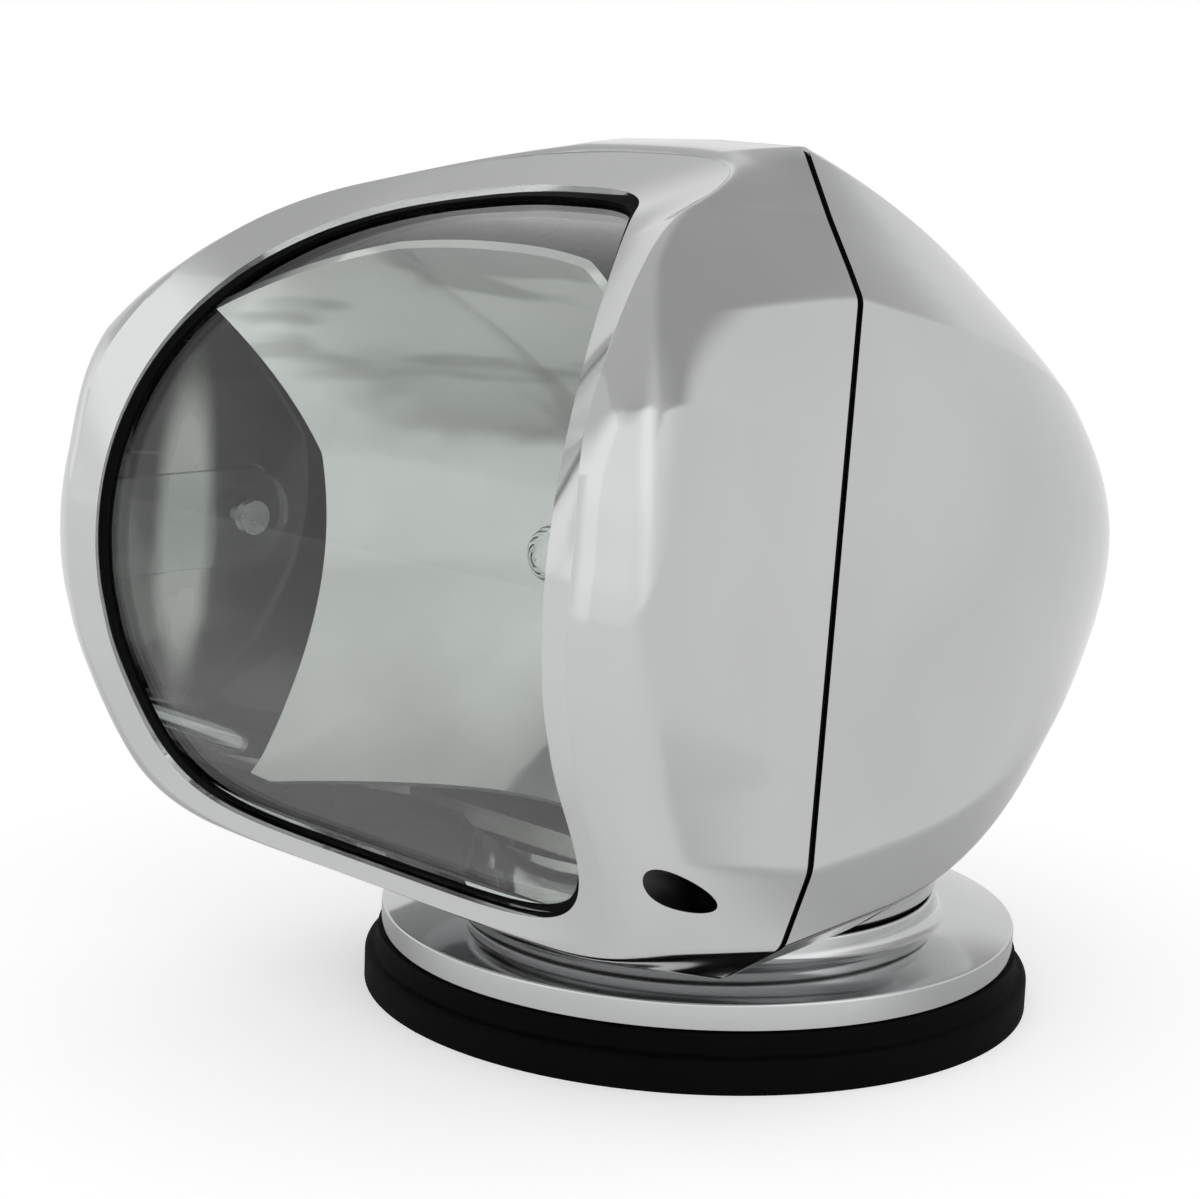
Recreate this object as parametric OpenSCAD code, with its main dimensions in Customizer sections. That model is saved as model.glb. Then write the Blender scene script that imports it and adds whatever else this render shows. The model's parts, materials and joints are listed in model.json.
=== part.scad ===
// Marine searchlight: a chromed two-shell head with a wrap-round lens pans on a round deck base,
// and a parabolic reflector tilts inside it. Millimetres, +Z up, the beam along -Y,
// origin on the pan axis at the underside of the deck gasket.

/* [Base] */
// Diameter of the chromed base flange
flange_d = 120; // [116:1:126]
// Thickness of the rubber deck gasket
gasket_t = 10; // [8:0.5:12]
// How far the gasket stands out past the flange
gasket_lip = 3; // [2:0.5:4]
// Height of the bright band round the flange
band_h = 5.2; // [4.5:0.1:6]
// Height of the base casting, from the gasket to the top of its neck
base_h = 11.3; // [11:0.1:13]
// Diameter of the neck
neck_d = 90; // [88:1:94]
// Diameter of the circle of deck bolts
bolt_circle_d = 72; // [70:1:76]
// Diameter of the pan spindle
spindle_d = 18; // [17:0.5:19]

/* [Head shells] */
// Height of the head from floor to roof
head_h = 133; // [131:0.5:136]
// Height of the turntable collar under the head
collar_h = 3.3; // [3:0.1:4]
// How far the tail of the rear shell is behind the pan axis
tail_y = 97; // [95:1:102]
// Wall thickness of both shells
wall = 2.5; // [2.2:0.1:2.8]
// Angle by which the seam between the shells leans back
seam_lean = 20; // [19:0.5:21]
// Gap at the seam, filled by its gasket
seam_gap = 1; // [0.8:0.1:1.2]
// Half width of the seam at the belt, where the head is widest
belt_half = 68.7; // [67:0.1:71]

/* [Visor and lens] */
// How far the tilt axis, which is also the axis of the curved lens, is in front of the pan axis
tilt_forward = 34; // [33:0.5:35]
// Radius of the chrome lip round the lens
lip_r = 63; // [62.5:0.1:64]
// How far the visor's outer crease stands out past the lip
rim_proud = 1.5; // [1:0.1:2]
// Half width of the visor's outer crease
rim_half = 65.5; // [65:0.1:67]
// Width of the visor's band at its sides
band_w = 6.7; // [6:0.1:7.2]
// Thickness of the lens
lens_t = 2; // [1.6:0.1:2.2]

/* [Lamp] */
// Focal length of the reflector
focal = 22; // [21.5:0.1:22.5]
// Half width of the reflector
reflector_half = 54.5; // [53:0.5:55]
// Thickness of the reflector
reflector_t = 1.5; // [1.2:0.1:1.6]
// Angle by which the beam dips at rest
droop = 5; // [3:0.5:6]

/* [Drives] */
// Teeth on the fixed pan gear, one millimetre module
pan_teeth = 48; // [46:2:48]
// Teeth on each motor pinion
pinion_teeth = 12; // [12:1:13]

/* [Fits] */
// Radial clearance of a turning shaft
run_gap = 0.05; // [0.03:0.01:0.08]
// Gap between faces that move past each other
air_gap = 0.3; // [0.3:0.05:0.5]

/* [Hidden] */
$fn = 64;
fine = 128;
chrome = "#c9ccce";
rubber = "#1b1b1c";
zinc = "#b9b8ae";
nylon = "#e6e2d4";
plastic = "#2c2e31";

// Base heights and radii
flange_r = flange_d / 2;
gasket_r = flange_r + gasket_lip;
neck_r = neck_d / 2;
neck_top = gasket_t + base_h;
spindle_r = spindle_d / 2;
cable_r = 6;
grommet_hole_r = 3.5;
bolt_r = 2.1;
insert_r = 3.2;
insert_h = 8;
core_r = 29;
recess_r = spindle_r + 11;
washer_t = 1;
recess_z = neck_top - 1.6;

// Head heights, all above the floor of the head
collar_z = neck_top + 1;
floor_z = collar_z + collar_h;
seat_z = floor_z - 0.3;
roof_z = floor_z + head_h;
hub_bottom = recess_z + washer_t + air_gap;
hub_top = floor_z + 10.2;
bush_r = spindle_r + 3;
hub_r = bush_r + 4;
pad_r = neck_r - 0.5;
pad_top = floor_z + wall + 4.9;
port_r = 30;
spigot_r = port_r - 0.1;
deck_t = 2;
deck_top = pad_top + deck_t;
deck_screw_r = 37;

// Tilt axis, and the visor profile round it: an arc with a straight brow above and chin below
tilt_y = -tilt_forward;
tilt_z = floor_z + 60.4;
rim_r = lip_r + rim_proud;
brow_slope = 13;
chin_slope = 24;
rim_z = tilt_z - 13;
rim_up = 83;
rim_down = 40;
lip_half = rim_half - band_w;
lip_up = rim_up - 6;
lip_down = rim_down - 3;
lip_t = 1.6;
lens_gasket_t = 0.8;
lens_depth = lip_t + lens_gasket_t;

// Seam corners as [angle on the rim, half width, height, bulge of the shoulder, inset x, inset z]
seam_top_y = -5;
corners = [
    [90, 0, roof_z, 0.1, 0, 1],
    [82, 22.5, roof_z - 0.5, 0.1, 0.5, 1],
    [37, 45, roof_z - 25.2, 0.17, 1.08, 0.4],
    [-7.5, belt_half, floor_z + 19.5, 0.22, 1.04, -0.16],
    [-31, belt_half - 1.2, floor_z + 7.4, 0.17, 0.95, -0.5],
    [-66, belt_half - 11.6, floor_z, 0.08, 0.5, -1],
    [-90, 0, floor_z, 0.03, 0, -1]
];
steps = [3, 6, 14, 4, 3, 4];
shoulder_weight = 3;
shoulder_back = 0.045;
shoulder_rows = [0, 0.12, 0.25, 0.38, 0.5, 0.62, 0.73, 0.83, 0.92];
tail_rows = [0, 0.1, 0.22, 0.35, 0.48, 0.6, 0.7, 0.79, 0.86, 0.92, 0.965, 0.99];

// Tail of the rear shell: centre height, half sizes, taper and roundness
tail_z = floor_z + 54.4;
tail_half = 66;
tail_up = 72;
tail_down = 56;

// Screws that pull the shells together through open bores in the lower front facets
shell_screw_x = belt_half - 7.7;
shell_screw_z = floor_z + 11.2;
shell_screw_toe = 19;
shell_bore_r = 2.6;
shell_boss_r = 5.4;
shell_boss_back = 0.8;
shell_head_r = 2.4;
shell_seat = 5;
shell_reach = 34;
screw_r = 1.5;

// Side tabs of the lens and the screws in them
tab_y = tilt_y - 28;
tab_half = 9;
tab_x = lip_half + 0.8;
tab_boss_r = 4.5;
belt_at_tilt = 45 + (belt_half - 45) * (roof_z - 25.2 - tilt_z) / (head_h - 44.7);
tab_boss_end = (belt_at_tilt + rim_half) / 2 + 3.2;
lens_screw_r = 1.45;

// Reflector: vertex behind the tilt axis, swing radius that clears the lens, cut along the bottom
vertex = focal - 3;
swing_r = lip_r - lens_depth - lens_t - 1.6;
low_cut = 46.5;
lamp_port_r = 9;

// Trunnions, from the cradle's arms out to the brackets of the chassis
arm_x = belt_half - 21.7;
arm_t = 2.2;
bracket_x = arm_x + arm_t + 0.5;
bracket_t = 2.5;
pin_r = 4;
bush_wall = 2;
tie_y = 18;
tie_z = 26;
tie_r = 2.5;

// Gears of one millimetre module
addendum = 0.9;
dedendum = 1.3;
gear_h = 4;
gear_z = hub_top + air_gap;
pan_reach = (pan_teeth + pinion_teeth) / 2;
sector_teeth = 80;
sector_x = -arm_x;
sector_t = 4;
sector_angle = -45;
tilt_reach = (sector_teeth + pinion_teeth) / 2;
tilt_pinion_y = tilt_y + tilt_reach * cos(sector_angle);
tilt_pinion_z = tilt_z + tilt_reach * sin(sector_angle);
shaft_r = 2;

// Motors and their gearboxes
box_z = deck_top + 8;
box_h = 14;
box_half = 22;
box_front = 17;
box_back = pan_reach + 14;
tilt_box_x = sector_x + sector_t + 1;
tilt_box_t = 12;
board_y = box_back + 5.5;

// Curves of the shells

// Point on a rounded outline, with its own height and squareness above and below its centre
function outline(a, half, z, up, down, square_up, square_down) =
    a >= 0
    ? [half * pow(cos(a), 2 / square_up), z + up * pow(sin(a), 2 / square_up)]
    : [half * pow(cos(a), 2 / square_down), z - down * pow(-sin(a), 2 / square_down)];

// Angle of the visor profile's normal, and its depth in Y, at a height z
function profile_angle(z, r) =
    let (s = (z - tilt_z) / r)
    s > cos(brow_slope) ? 90 - brow_slope : s < -sin(chin_slope) ? -chin_slope : asin(s);
function profile_y(z, r) =
    let (a = profile_angle(z, r), past = z - tilt_z - r * sin(a))
    tilt_y - r * cos(a) + (past > 0 ? past / tan(brow_slope) : -past * tan(chin_slope));

// Point of the visor at [half width, height], sunk by a depth along the profile's normal
function visor_point(q, r, depth) =
    let (a = profile_angle(q[1], r))
    [q[0], profile_y(q[1], r) + depth * cos(a), q[1] - depth * sin(a)];

function lip_outline(p, side, top, bottom) =
    outline(p[0], lip_half + side, rim_z, lip_up + top, lip_down + bottom, 2.8, 5);
function seam_y(z) = seam_top_y - tan(seam_lean) * (roof_z - z);
function seam_point(p, inset, shift) =
    let (z = p[2] - inset * p[5])
    [p[1] - inset * p[4], seam_y(z) + shift, z];
function rim_outline(p, inset) =
    outline(p[0], rim_half - inset, rim_z, rim_up - inset, rim_down - inset, 3, 5);
function rim_point(p, inset) = visor_point(rim_outline(p, inset), rim_r - inset, 0);

// Outward direction of the rim outline
function rim_normal(p) =
    let (q = rim_outline(p, 0), up = p[0] >= 0, h = up ? rim_up : rim_down, e = up ? 2 : 4)
    let (nx = pow(q[0] / rim_half, e) / rim_half, nz = pow(abs(q[1] - rim_z) / h, e) / h)
    [nx, 0, up ? nz : -nz] / norm([nx, nz]);

// Front shell: a conic from the seam (t = 0) to the rim (t = 1)
function shoulder_point(p, t, inset, shift) =
    let (s = seam_point(p, inset, shift), r = rim_point(p, inset), span = norm(s - r))
    let (q = r + rim_normal(p) * (p[3] * span) + [0, shoulder_back * span, 0])
    let (a = (1 - t) * (1 - t), b = 2 * shoulder_weight * t * (1 - t), c = t * t)
    (a * s + b * q + c * r) / (a + b + c);

// Rear shell: the seam's corners melt into an oval as it closes towards the tail (v = 1)
function tail_point(p, v, inset, shift) =
    let (s = seam_point(p, inset, shift), dz = s[2] - tail_z, up = dz > 0)
    let (w = tail_half - inset, h = (up ? tail_up : tail_down) - inset, melt = v * v * (3 - 2 * v))
    let (n = norm([s[0] / w, dz / h]))
    let (x = (1 - melt) * s[0] + melt * s[0] / n, z = (1 - melt) * dz + melt * dz / n)
    let (close_x = (1 - 0.2 * v) * sqrt(1 - pow(v, 3.1)))
    let (close_z = up ? (1 - 0.37 * v) * sqrt(1 - pow(v, 3.6)) : sqrt(1 - pow(v, 4.7)))
    [x * close_x, s[1] + (tail_y - inset - s[1]) * v, tail_z + z * close_z];

// Rails round the near half of the head, and a closed ring made from them
rails = concat(
    [for (i = [0 : len(steps) - 1]) for (j = [0 : steps[i] - 1])
        let (u = j / steps[i]) (1 - u) * corners[i] + u * corners[i + 1]],
    [corners[len(steps)]]
);
function ring(point) =
    let (half = [for (p = rails) point(p)], last = len(half) - 1)
    concat(half, [for (i = [last - 1 : -1 : 1]) [-half[i][0], half[i][1], half[i][2]]]);

// Faces between ring i and ring k of n points each
function band_faces(i, k, n) =
    [for (j = [0 : n - 1]) let (m = (j + 1) % n)
        each [[i * n + j, i * n + m, k * n + m], [i * n + j, k * n + m, k * n + j]]];

// Solid of rings that close on themselves
module ring_loft(rings) {
    n = len(rings[0]);
    count = len(rings);
    polyhedron(
        points = [for (r = rings) each r],
        faces = [for (i = [0 : count - 1]) each band_faces(i, (i + 1) % count, n)],
        convexity = 8
    );
}

// Solid of rings with a flat fan at each end
module capped_loft(rings) {
    n = len(rings[0]);
    count = len(rings);
    function centre(r) = [for (k = [0 : 2]) [for (q = r) q[k]] * [for (q = r) 1 / n]];
    polyhedron(
        points = concat([for (r = rings) each r], [centre(rings[0]), centre(rings[count - 1])]),
        faces = concat(
            [for (i = [0 : count - 2]) each band_faces(i, i + 1, n)],
            [for (j = [0 : n - 1]) [(j + 1) % n, j, count * n]],
            [for (j = [0 : n - 1])
                [(count - 1) * n + j, (count - 1) * n + (j + 1) % n, count * n + 1]]
        ),
        convexity = 8
    );
}

// Solid cup: outer rings, the outer apex, inner rings and the inner apex
module cup_loft(outer, outer_apex, inner, inner_apex) {
    n = len(outer[0]);
    rows = len(outer);
    apex = 2 * rows * n;
    polyhedron(
        points = concat([for (r = outer) each r], [for (r = inner) each r], [outer_apex, inner_apex]),
        faces = concat(
            [for (i = [0 : rows - 2]) each band_faces(i + 1, i, n)],
            [for (i = [0 : rows - 2]) each band_faces(rows + i, rows + i + 1, n)],
            band_faces(0, rows, n),
            [for (j = [0 : n - 1]) let (m = (j + 1) % n)
                [(rows - 1) * n + m, (rows - 1) * n + j, apex]],
            [for (j = [0 : n - 1]) let (m = (j + 1) % n)
                [(2 * rows - 1) * n + j, (2 * rows - 1) * n + m, apex + 1]]
        ),
        convexity = 8
    );
}

// Places and small shapes

module each_side() {
    for (side = [-1, 1]) mirror([side < 0 ? 1 : 0, 0, 0]) children();
}

module bolt_ring() {
    for (i = [0 : 3]) rotate(45 + 90 * i) translate([bolt_circle_d / 2, 0, 0]) children();
}

// Four screws that clamp the chassis deck and the shell's floor to the turntable
module deck_screw_ring() {
    for (a = [15, 165, 195, 345]) rotate(a) translate([deck_screw_r, 0, 0]) children();
}

// Profile drawn as [y, z] from the tilt axis, extruded along +X from x
module side_plate(x, t) {
    translate([x, tilt_y, tilt_z]) rotate([90, 0, 90]) linear_extrude(t) children();
}

// Along the screw on the +X side that joins the shells: z = 0 in the seam, +z to the rear
module shell_screw_axis() {
    translate([shell_screw_x, seam_y(shell_screw_z), shell_screw_z])
        rotate([0, 0, shell_screw_toe]) rotate([-90 - seam_lean, 0, 0]) children();
}

// Everything on one side of the seam's leaning plane: side -1 in front of it, 1 behind it
module seam_block(shift, side) {
    translate([0, seam_top_y + shift, roof_z]) rotate([-seam_lean, 0, 0])
        translate([-200, side < 0 ? -400 : 0, -300]) cube([400, 400, 600]);
}

module tube(outer, inner, h) {
    difference() {
        cylinder(r = outer, h = h);
        translate([0, 0, -1]) cylinder(r = inner, h = h + 2);
    }
}

// Straight-flanked gear outline of one millimetre module with a tooth at the given angle
function gear_outline(teeth, start) =
    let (pitch = 360 / teeth, root = teeth / 2 - dedendum, tip = teeth / 2 + addendum)
    [for (i = [0 : teeth - 1]) each
        [for (q = [[root, -0.29], [tip, -0.11], [tip, 0.11], [root, 0.29]])
            let (a = start + (i + q[1]) * pitch) q[0] * [cos(a), sin(a)]]];

// Everything that tilts is drawn about the tilt axis, dipped to its rest pose
module tilted() {
    translate([0, tilt_y, tilt_z]) rotate([droop, 0, 0]) children();
}

// Depth of the reflector's paraboloid at radius r, from the tilt axis
function dish_y(r) = vertex - r * r / (4 * focal);

// Paraboloid of revolution about Y, its inside face pushed back by an offset
module dish_solid(offset_y) {
    rim = 80;
    rows = 20;
    rotate([90, 0, 0]) rotate_extrude($fn = fine)
        polygon(concat(
            [[0, 70]],
            [for (i = [0 : rows]) let (r = rim * i / rows) [r, -dish_y(r) - offset_y]],
            [[rim, 70]]
        ));
}

// Base, fixed to the deck

module base_gasket() {
    step = 0.62 * gasket_t;
    color(rubber) difference() {
        rotate_extrude($fn = fine) polygon([
            [core_r, 0], [gasket_r, 0], [gasket_r, step - 1.2], [gasket_r - 1.2, step],
            [flange_r + 0.8, step + 1.2], [flange_r + 0.6, gasket_t], [core_r, gasket_t]
        ]);
        bolt_ring() translate([0, 0, -1]) cylinder(r = bolt_r, h = gasket_t + 2);
    }
}

module base_flange() {
    band_top = gasket_t + band_h;
    edge = 0.6;
    fillet = 2.4;
    color(chrome) difference() {
        rotate_extrude($fn = fine) polygon(concat(
            [[spindle_r, gasket_t], [flange_r - 0.6, gasket_t], [flange_r, gasket_t + 0.6]],
            [for (a = [0 : 20 : 80]) [flange_r - edge + edge * cos(a), band_top - edge + edge * sin(a)]],
            [[neck_r + 5.5, band_top + 1.6]],
            [for (a = [270 : -22.5 : 180])
                [neck_r + fillet + fillet * cos(a), band_top + 1.6 + fillet + fillet * sin(a)]],
            [[neck_r, neck_top - 0.4], [neck_r - 0.4, neck_top], [recess_r, neck_top]],
            [[recess_r, recess_z], [spindle_r, recess_z]]
        ));
        // core under the casting, and the blind holes for the deck bolts' inserts
        translate([0, 0, gasket_t - 1]) tube(core_r, recess_r - 4, 5);
        bolt_ring() translate([0, 0, gasket_t - 1]) cylinder(r = insert_r, h = insert_h + 1);
    }
}

module base_inserts() {
    color("#b89a4a") bolt_ring() translate([0, 0, gasket_t]) tube(insert_r, bolt_r, insert_h);
}

// Hollow spindle, held under the casting by its collar
module pan_spindle() {
    collar_r = spindle_r + 4;
    top = gear_z + gear_h + 7.3;
    color("#a9abad") rotate_extrude() polygon([
        [cable_r, gasket_t - 5], [collar_r, gasket_t - 5], [collar_r, gasket_t], [spindle_r, gasket_t],
        [spindle_r, top - 0.8], [spindle_r - 0.8, top], [cable_r, top]
    ]);
}

// Grommet in the spindle's mouth, where the deck cable enters
module cable_grommet() {
    mouth = gasket_t - 5;
    color(rubber) rotate_extrude() polygon([
        [grommet_hole_r, mouth - 2], [cable_r + 2.5, mouth - 2], [cable_r + 2.5, mouth], [cable_r, mouth],
        [cable_r, mouth + 5], [grommet_hole_r, mouth + 5]
    ]);
}

module thrust_washer() {
    color(nylon) translate([0, 0, recess_z]) tube(recess_r - 1, spindle_r, washer_t);
}

module pan_gear() {
    color("#9a9c98") difference() {
        union() {
            translate([0, 0, gear_z]) linear_extrude(gear_h) polygon(gear_outline(pan_teeth, 90));
            translate([0, 0, gear_z]) cylinder(r = spindle_r + 4, h = gear_h + 1.5);
        }
        translate([0, 0, gear_z - 1]) cylinder(r = spindle_r, h = gear_h + 4);
        for (i = [0 : 5]) rotate(60 * i) translate([18, 0, gear_z - 1]) cylinder(r = 2.6, h = gear_h + 2);
    }
}

module spindle_nut() {
    color(zinc) translate([0, 0, gear_z + gear_h + 1.5]) difference() {
        cylinder(r = spindle_r + 4.6, h = 5, $fn = 6);
        translate([0, 0, -1]) cylinder(r = spindle_r, h = 7);
    }
}

// Head, panning on the spindle

module turntable() {
    color(chrome) difference() {
        rotate_extrude($fn = fine) polygon([
            [bush_r, hub_bottom], [hub_r, hub_bottom], [hub_r, collar_z], [neck_r - 0.3, collar_z],
            [neck_r, collar_z + 0.3], [neck_r, seat_z], [spigot_r, seat_z], [spigot_r, pad_top],
            [port_r - 4, pad_top], [port_r - 4, floor_z], [hub_r, floor_z], [hub_r, hub_top],
            [bush_r, hub_top]
        ]);
        deck_screw_ring() translate([0, 0, collar_z + 0.5]) cylinder(r = screw_r, h = collar_h + 1);
    }
}

module pan_bush() {
    color("#b08d57") translate([0, 0, hub_bottom])
        tube(bush_r, spindle_r + run_gap, hub_top - hub_bottom);
}

// Weather seal under the collar, clear of the neck
module neck_seal() {
    color(rubber) translate([0, 0, neck_top + air_gap])
        tube(neck_r - 0.8, neck_r - 5, collar_z - neck_top - air_gap);
}

module rear_housing() {
    shift = seam_gap / 2;
    pad_h = pad_top - seat_z;
    color(chrome) difference() {
        union() {
            cup_loft(
                [for (v = tail_rows) ring(function(p) tail_point(p, v, 0, shift))],
                [0, tail_y, tail_z],
                [for (v = tail_rows) ring(function(p) tail_point(p, v, wall, shift))],
                [0, tail_y - wall, tail_z]
            );
            translate([0, 0, seat_z]) cylinder(r = pad_r, h = pad_h, $fn = fine);
            each_side() difference() {
                shell_screw_axis() translate([0, 0, -6]) cylinder(r = shell_boss_r, h = 19);
                seam_block(shift + shell_boss_back, -1);
            }
        }
        translate([0, 0, floor_z - 1]) cylinder(r = port_r, h = pad_h + 2, $fn = fine);
        deck_screw_ring() translate([0, 0, floor_z - 1]) cylinder(r = screw_r + 0.3, h = pad_h + 2);
        each_side() shell_screw_axis() cylinder(r = screw_r, h = 12);
    }
}

module front_housing() {
    shift = -seam_gap / 2;
    rows = len(shoulder_rows) - 1;
    color(chrome) difference() {
        union() {
            ring_loft(concat(
                [for (t = shoulder_rows) ring(function(p) shoulder_point(p, t, 0, shift))],
                [ring(function(p) rim_point(p, 0))],
                [for (d = [0, lip_t]) ring(function(p) visor_point(lip_outline(p, 0, 0, 0), lip_r, d))],
                [ring(function(p) rim_point(p, wall))],
                [for (i = [rows : -1 : 0])
                    ring(function(p) shoulder_point(p, shoulder_rows[i], wall, shift))]
            ));
            // tubes of the shell screws, which end inside the wall, and posts of the lens screws
            intersection() {
                capped_loft(concat(
                    [for (i = [0 : 2 : rows]) ring(function(p)
                        shoulder_point(p, shoulder_rows[i], wall / 2, shift - shell_boss_back))],
                    [ring(function(p) rim_point(p, wall / 2))]
                ));
                each_side() shell_screw_axis()
                    translate([0, 0, -shell_reach]) cylinder(r = shell_boss_r, h = shell_reach + 6);
            }
            each_side() translate([tab_x + lens_t, tab_y, tilt_z])
                rotate([0, 90, 0]) cylinder(r = tab_boss_r, h = tab_boss_end - tab_x - lens_t);
        }
        each_side() shell_screw_axis() {
            translate([0, 0, -shell_seat - 60]) cylinder(r = shell_bore_r, h = 60);
            translate([0, 0, -shell_seat - 1]) cylinder(r = screw_r + 0.3, h = shell_seat + 2);
        }
        each_side() translate([tab_x + lens_t - 1, tab_y, tilt_z])
            rotate([0, 90, 0]) cylinder(r = lens_screw_r, h = 4);
    }
}

// Gasket in the seam, a little below the chrome
module housing_gasket() {
    half = seam_gap / 2 - 0.02;
    color(rubber) ring_loft([for (q = [[0.5, -1], [0.5, 1], [wall, 1], [wall, -1]])
        ring(function(p) seam_point(p, q[0], -q[1] * half))]);
}

module housing_screws() {
    color("#c4c6c8") each_side() shell_screw_axis() {
        translate([0, 0, -shell_seat - 2.6]) cylinder(r = shell_head_r, h = 2.6);
        translate([0, 0, -shell_seat]) cylinder(r = screw_r, h = shell_seat + 11);
    }
}

// Curved lens: rows across it from brow to chin, with a screw tab folded back on each side
module lens() {
    rows = [for (p = rails) lip_outline(p, 3.2, 0.5, -0.5)];
    wide = [for (q = rows) [max(q[0], 6), q[1]]];
    count = len(wide);
    lens_front = tilt_y - lip_r + lens_depth + lens_t / 2;
    color("#dfe9ea", 0.4) {
        polyhedron(
            points = [for (q = wide) each
                let (o = visor_point(q, lip_r, lens_depth), i = visor_point(q, lip_r, lens_depth + lens_t))
                [[-q[0], o[1], o[2]], [q[0], o[1], o[2]], [q[0], i[1], i[2]], [-q[0], i[1], i[2]]]],
            faces = concat(
                [[3, 2, 1], [3, 1, 0]],
                [for (k = [0 : count - 2]) for (f = band_faces(k, k + 1, 4)) f],
                [[0, 1, 2] + (count - 1) * [4, 4, 4], [0, 2, 3] + (count - 1) * [4, 4, 4]]
            ),
            convexity = 6
        );
        each_side() difference() {
            union() {
                translate([tab_x, lens_front, tilt_z - tab_half])
                    cube([lens_t, tab_y - lens_front, 2 * tab_half]);
                translate([tab_x, tab_y, tilt_z]) rotate([0, 90, 0]) cylinder(r = tab_half, h = lens_t);
            }
            translate([tab_x - 1, tab_y, tilt_z]) rotate([0, 90, 0])
                cylinder(r = lens_screw_r + 0.25, h = lens_t + 2);
        }
    }
}

module lens_gasket() {
    color(rubber) ring_loft([
        for (q = [[-1.8, -0.4, -1.3, 0], [3, 0.4, -0.6, 0], [3, 0.4, -0.6, 1], [-1.8, -0.4, -1.3, 1]])
            ring(function(p) visor_point(
                lip_outline(p, q[0], q[1], q[2]), lip_r, lip_t + 0.24 + q[3] * (lens_gasket_t - 0.36)))
    ]);
}

module lens_screws() {
    color("#c4c6c8") each_side() translate([tab_x, tab_y, tilt_z]) rotate([0, 90, 0]) {
        translate([0, 0, -2]) cylinder(r = 3.2, h = 2);
        cylinder(r = lens_screw_r, h = lens_t + 2.8);
    }
}

// Sheet-metal chassis: a deck on the pad, trunnion brackets, the tilt drive's upright and posts
module chassis() {
    foot = bracket_x + bracket_t;
    color(zinc) difference() {
        union() {
            translate([0, 0, pad_top]) linear_extrude(deck_t) polygon([
                [-foot, tilt_y - 6], [-foot + 10.2, tilt_y - 2], [foot - 10.2, tilt_y - 2],
                [foot, tilt_y - 6], [foot, tilt_y + 14], [foot - 6.2, 0], [foot - 13.2, 12.5],
                [24, 24], [18, 34], [-18, 34], [-24, 24],
                [13.2 - foot, 12.5], [6.2 - foot, 0], [-foot, tilt_y + 14]
            ]);
            each_side() side_plate(bracket_x, bracket_t) {
                circle(r = pin_r + bush_wall + 1.2);
                polygon([[-4, 0], [-5, pad_top - tilt_z], [13, pad_top - tilt_z], [7, 0]]);
            }
            translate([tilt_box_x + tilt_box_t, tilt_pinion_y - 7.5, deck_top])
                cube([2, 20, tilt_pinion_z + 7.5 - deck_top]);
            each_side() translate([box_half - 4, pan_reach - 3, deck_top])
                cylinder(r = 3.5, h = box_z - deck_top);
        }
        translate([0, 0, pad_top - 1]) cylinder(r = hub_r + 2, h = deck_t + 2);
        each_side() side_plate(bracket_x - 1, bracket_t + 2) circle(r = pin_r + bush_wall);
        deck_screw_ring() translate([0, 0, pad_top - 1]) cylinder(r = screw_r + 0.3, h = deck_t + 2);
    }
}

module chassis_screws() {
    color(zinc) deck_screw_ring() {
        translate([0, 0, deck_top]) cylinder(r = 3, h = 2.2);
        translate([0, 0, collar_z + 0.5]) cylinder(r = screw_r, h = deck_top - collar_z - 0.5);
    }
}

module tilt_bushes() {
    color(nylon) each_side() side_plate(bracket_x, bracket_t) difference() {
        circle(r = pin_r + bush_wall);
        circle(r = pin_r + run_gap);
    }
}

module pan_gearbox() {
    color(plastic) difference() {
        translate([-box_half, box_front, box_z]) cube([2 * box_half, box_back - box_front, box_h]);
        translate([0, pan_reach, box_z - 1]) cylinder(r = shaft_r + run_gap, h = 10);
    }
}

module pan_motor() {
    color("#a5a8aa") translate([0, pan_reach + 1, box_z + box_h]) {
        cylinder(r = 11, h = 26);
        cylinder(r = 4, h = 28);
    }
}

module pan_pinion() {
    color("#9a9c98") translate([0, pan_reach, 0]) {
        translate([0, 0, gear_z - 0.4]) linear_extrude(gear_h + 0.8)
            polygon(gear_outline(pinion_teeth, 270 + 180 / pinion_teeth));
        translate([0, 0, gear_z]) cylinder(r = shaft_r, h = box_z + 8.5 - gear_z);
    }
}

module tilt_gearbox() {
    color(plastic) difference() {
        translate([tilt_box_x, tilt_pinion_y - 7.5, tilt_pinion_z - 9.5]) cube([tilt_box_t, 20, 17]);
        translate([tilt_box_x - 1, tilt_pinion_y, tilt_pinion_z]) rotate([0, 90, 0])
            cylinder(r = shaft_r + run_gap, h = 10);
    }
}

module tilt_motor() {
    back = tilt_box_x + tilt_box_t + 2;
    color("#a5a8aa") translate([back, tilt_pinion_y + 4, tilt_pinion_z + 5.5]) rotate([0, 90, 0]) {
        cylinder(r = 9, h = 28);
        cylinder(r = 3.5, h = 30);
    }
}

module tilt_pinion() {
    start = 180 + sector_angle + 180 / pinion_teeth;
    color("#9a9c98") translate([0, tilt_pinion_y, tilt_pinion_z]) rotate([90, 0, 90]) {
        translate([0, 0, sector_x - 0.3]) linear_extrude(sector_t + 0.7)
            polygon(gear_outline(pinion_teeth, start));
        translate([0, 0, sector_x]) cylinder(r = shaft_r, h = sector_t + 1 + 8.5);
    }
}

module board_standoffs() {
    color("#b89a4a") each_side() for (z = [3.5, 10.5])
        translate([box_half - 4, box_back, box_z + z]) rotate([-90, 0, 0])
            cylinder(r = 2.2, h = board_y - box_back);
}

module control_board() {
    color("#1f6b45") translate([-27, board_y, box_z + 1]) cube([54, 1.6, 40]);
}

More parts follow.
